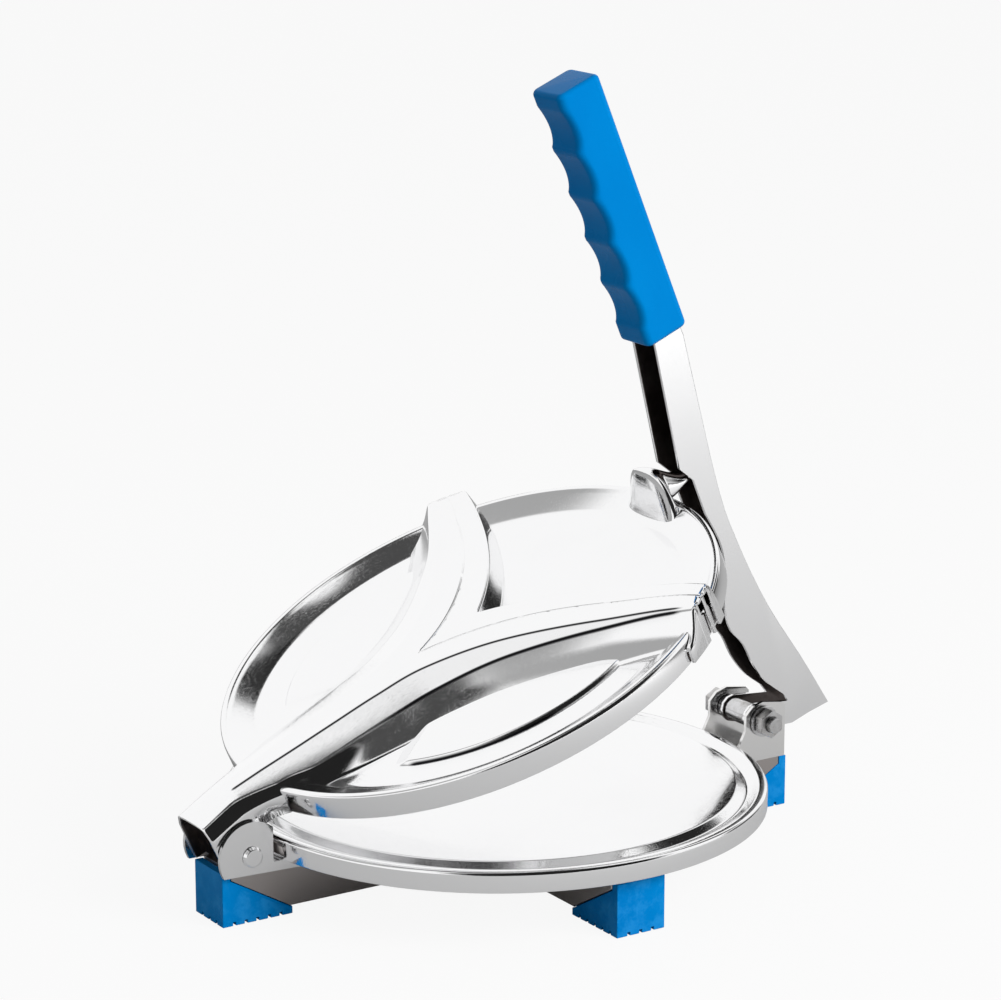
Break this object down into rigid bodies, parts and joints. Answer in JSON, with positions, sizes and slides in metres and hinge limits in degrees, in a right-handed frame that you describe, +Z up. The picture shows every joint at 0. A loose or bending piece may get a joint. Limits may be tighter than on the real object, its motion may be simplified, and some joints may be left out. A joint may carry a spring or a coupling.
{
  "type": "puri press",
  "caption": "Hand press for puri and other small flatbreads: a round steel plate on a cross stand, a ribbed steel plate hinged over it and a lever with a blue grip.",
  "frame": {"origin": "on the table under the middle of the whole press", "axes": "+Z up, +X from the hinge towards the lever's bolt, -Y the near side with the bolt's nut"},
  "size_m": [0.228, 0.165, 0.239],
  "materials": {
    "bright_steel": "mirror polished stainless steel",
    "plated_fastener": "plated",
    "blue_plastic": "moulded, slightly glossy"
  },
  "bodies": {
    "stand": {"base_cross_arm_far": "bright_steel", "base_cross_arm_near": "bright_steel", "base_long_rail": "bright_steel", "bolt_head_washer": "plated_fastener", "bottom_plate": "bright_steel", "foot_far": "blue_plastic", "foot_hinge_end": "blue_plastic", "foot_lever_end": "blue_plastic", "foot_near": "blue_plastic", "hinge_bracket": "bright_steel", "hinge_bracket_rivet_far": "plated_fastener", "hinge_bracket_rivet_near": "plated_fastener", "hinge_pin": "plated_fastener", "lever_bolt": "plated_fastener", "lever_bracket": "bright_steel", "lever_bracket_rivet_far": "plated_fastener", "lever_bracket_rivet_near": "plated_fastener", "lever_bush": "plated_fastener", "lever_nut": "plated_fastener", "lever_spacer_far": "bright_steel", "lever_spacer_near": "bright_steel", "nut_washer": "plated_fastener"},
    "top_plate": {"top_cover": "bright_steel", "top_nose": "bright_steel", "top_press_disc": "bright_steel"},
    "lever": {"handle_grip": "blue_plastic", "lever_channel": "bright_steel"}
  },
  "joints": [
    {"name": "plate_hinge", "type": "hinge", "parent": "stand", "child": "top_plate", "pos_m": [-0.09976, 0, 0.0212], "axis": [0, -1, 0], "range_deg": [-24.5, 66]},
    {"name": "lever_hinge", "type": "hinge", "parent": "stand", "child": "lever", "pos_m": [0.08474, 0, 0.0302], "axis": [0, 1, 0], "range_deg": [0, 32]}
  ]
}
